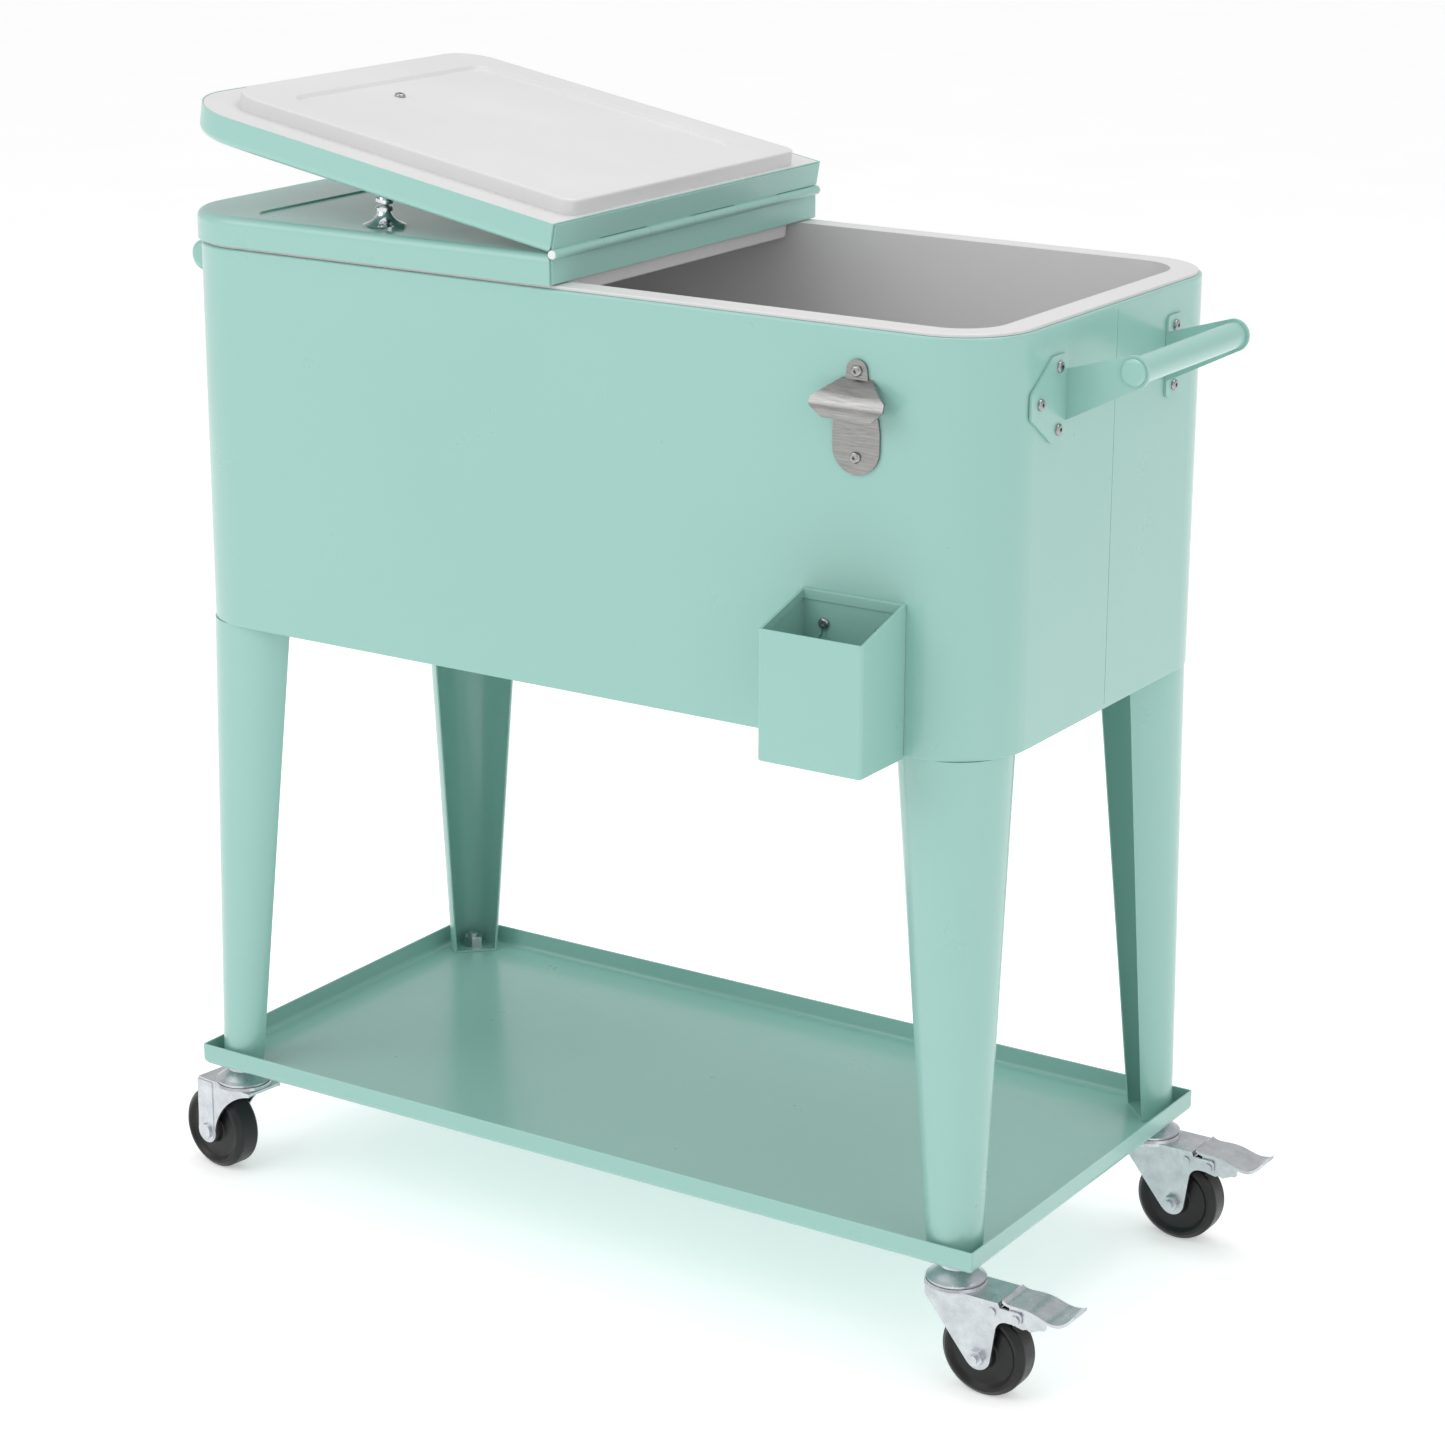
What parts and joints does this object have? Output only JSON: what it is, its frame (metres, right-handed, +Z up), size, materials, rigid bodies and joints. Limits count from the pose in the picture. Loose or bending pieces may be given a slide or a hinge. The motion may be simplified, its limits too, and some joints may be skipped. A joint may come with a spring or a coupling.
{
  "type": "rolling patio cooler chest",
  "caption": "Rolling insulated drinks cooler chest: rounded steel body with folding lids, end handles, bottle opener, cap catcher, shelf tray and swivel casters.",
  "frame": {"origin": "on the floor, below the centre of the body and tray", "axes": "+X along the length towards the braked casters, -Y out of the front with the opener, +Z up"},
  "size_m": [0.9423, 0.458, 0.9748],
  "materials": {
    "mint_paint": "smooth satin-gloss powder coat",
    "white_liner": "smooth, soft gloss",
    "foam": "matte cellular",
    "zinc_steel": "bright zinc plate",
    "screw_steel": "polished stainless",
    "opener_steel": "brushed stainless",
    "knob_chrome": "mirror chrome",
    "pin_nylon": "smooth",
    "wheel_plastic": "satin moulded",
    "brake_rubber": "matte",
    "drain_plastic": "satin moulded",
    "plug_rubber": "soft matte"
  },
  "bodies": {
    "chassis": {"body_shell": "mint_paint", "body_base_pan": "mint_paint", "inner_tub": "white_liner", "foam_insulation": "foam", "leg_front_left": "mint_paint", "leg_front_right": "mint_paint", "leg_back_left": "mint_paint", "leg_back_right": "mint_paint", "leg_bolts": "zinc_steel", "bottom_tray": "mint_paint", "stem_nuts": "zinc_steel", "handle_bracket_front_left": "mint_paint", "handle_bracket_front_right": "mint_paint", "handle_bracket_back_left": "mint_paint", "handle_bracket_back_right": "mint_paint", "handle_grip_left": "mint_paint", "handle_grip_right": "mint_paint", "handle_screws_left": "screw_steel", "handle_screws_right": "screw_steel", "bottle_opener": "opener_steel", "opener_screws": "screw_steel", "catcher_screws": "screw_steel", "drain_spout": "drain_plastic", "drain_locknut": "drain_plastic", "caster_stem_front_left": "zinc_steel", "caster_stem_front_right": "zinc_steel", "caster_stem_back_left": "zinc_steel", "caster_stem_back_right": "zinc_steel"},
    "left_lid": {"left_lid_shell": "mint_paint", "left_lid_liner": "white_liner", "left_lid_foam": "foam", "left_lid_liner_screw": "screw_steel", "left_lid_knob": "knob_chrome", "left_hinge_leaf": "mint_paint", "hinge_pin": "pin_nylon"},
    "right_lid": {"right_lid_shell": "mint_paint", "right_lid_liner": "white_liner", "right_lid_foam": "foam", "right_lid_liner_screw": "screw_steel", "right_lid_knob": "knob_chrome", "right_hinge_leaf": "mint_paint"},
    "cap_catcher": {"cap_catcher": "mint_paint"},
    "drain_plug": {"drain_plug": "plug_rubber"},
    "swivel_front_left": {"caster_fork_front_left": "zinc_steel", "caster_axle_front_left": "zinc_steel"},
    "wheel_front_left": {"caster_wheel_front_left": "wheel_plastic"},
    "swivel_front_right": {"caster_fork_front_right": "zinc_steel", "caster_axle_front_right": "zinc_steel"},
    "wheel_front_right": {"caster_wheel_front_right": "wheel_plastic"},
    "brake_front_right": {"brake_lever_front_right": "zinc_steel", "brake_pad_front_right": "brake_rubber"},
    "swivel_back_left": {"caster_fork_back_left": "zinc_steel", "caster_axle_back_left": "zinc_steel"},
    "wheel_back_left": {"caster_wheel_back_left": "wheel_plastic"},
    "swivel_back_right": {"caster_fork_back_right": "zinc_steel", "caster_axle_back_right": "zinc_steel"},
    "wheel_back_right": {"caster_wheel_back_right": "wheel_plastic"},
    "brake_back_right": {"brake_lever_back_right": "zinc_steel", "brake_pad_back_right": "brake_rubber"}
  },
  "joints": [
    {"name": "lid_lift_off", "type": "slide", "parent": "chassis", "child": "left_lid", "axis": [0, 0, 1], "range_m": [0, 0.06]},
    {"name": "right_lid_hinge", "type": "hinge", "parent": "left_lid", "child": "right_lid", "pos_m": [0, 0, 0.876], "axis": [0, 1, 0], "range_deg": [0, 170.1]},
    {"name": "catcher_lift", "type": "slide", "parent": "chassis", "child": "cap_catcher", "axis": [0, 0, 1], "range_m": [0, 0.014]},
    {"name": "drain_plug_pull", "type": "slide", "parent": "chassis", "child": "drain_plug", "axis": [0, 0, 1], "range_m": [0, 0.04]},
    {"name": "swivel_front_left", "type": "hinge", "parent": "chassis", "child": "swivel_front_left", "pos_m": [-0.367, -0.173, 0.09], "axis": [0, 0, 1], "continuous": true},
    {"name": "wheel_spin_front_left", "type": "hinge", "parent": "swivel_front_left", "child": "wheel_front_left", "pos_m": [-0.3977, -0.16869, 0.0375], "axis": [-0.1392, -0.9903, 0], "continuous": true},
    {"name": "swivel_front_right", "type": "hinge", "parent": "chassis", "child": "swivel_front_right", "pos_m": [0.367, -0.173, 0.09], "axis": [0, 0, 1], "continuous": true},
    {"name": "wheel_spin_front_right", "type": "hinge", "parent": "swivel_front_right", "child": "wheel_front_right", "pos_m": [0.398, -0.173, 0.0375], "axis": [0, 1, 0], "continuous": true},
    {"name": "brake_press_front_right", "type": "hinge", "parent": "swivel_front_right", "child": "brake_front_right", "pos_m": [0.4306, -0.173, 0.0778], "axis": [0, 1, 0], "range_deg": [0, 12]},
    {"name": "swivel_back_left", "type": "hinge", "parent": "chassis", "child": "swivel_back_left", "pos_m": [-0.367, 0.173, 0.09], "axis": [0, 0, 1], "continuous": true},
    {"name": "wheel_spin_back_left", "type": "hinge", "parent": "swivel_back_left", "child": "wheel_back_left", "pos_m": [-0.39783, 0.16976, 0.0375], "axis": [0.1045, -0.9945, 0], "continuous": true},
    {"name": "swivel_back_right", "type": "hinge", "parent": "chassis", "child": "swivel_back_right", "pos_m": [0.367, 0.173, 0.09], "axis": [0, 0, 1], "continuous": true},
    {"name": "wheel_spin_back_right", "type": "hinge", "parent": "swivel_back_right", "child": "wheel_back_right", "pos_m": [0.398, 0.173, 0.0375], "axis": [0, 1, 0], "continuous": true},
    {"name": "brake_press_back_right", "type": "hinge", "parent": "swivel_back_right", "child": "brake_back_right", "pos_m": [0.4306, 0.173, 0.0778], "axis": [0, 1, 0], "range_deg": [0, 12]}
  ]
}
